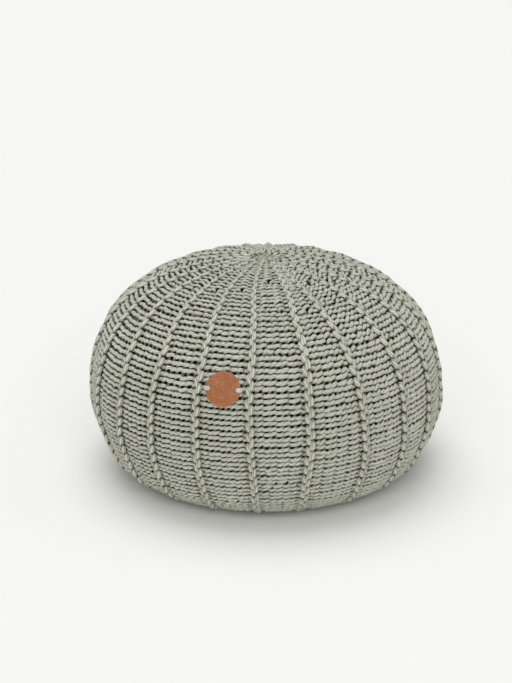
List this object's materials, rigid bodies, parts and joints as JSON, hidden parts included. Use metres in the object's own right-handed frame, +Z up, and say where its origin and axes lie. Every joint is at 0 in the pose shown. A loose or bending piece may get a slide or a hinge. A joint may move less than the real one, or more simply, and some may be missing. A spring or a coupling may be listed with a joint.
{
  "type": "knitted pouf",
  "caption": "Round knitted floor pouf, filled, with a full crown, a flat foot, raised ribs and a small leather disc sewn on its front.",
  "frame": {"origin": "on the floor, under the middle of the pouf", "axes": "+Z up, -Y towards the front with the leather disc, +X to the right seen from the front"},
  "size_m": [0.4971, 0.4995, 0.3048],
  "materials": {
    "cotton_cord": "matte sage-grey cotton cord, chunky purl knit with slipped ribs",
    "tan_leather": "smooth tan leather with a fine grain, cut edge",
    "pale_yarn": "matte pale cotton yarn"
  },
  "bodies": {
    "root": {"knit_cover": "cotton_cord", "leather_disc": "tan_leather", "stitch_left": "pale_yarn", "stitch_right": "pale_yarn"}
  },
  "joints": []
}
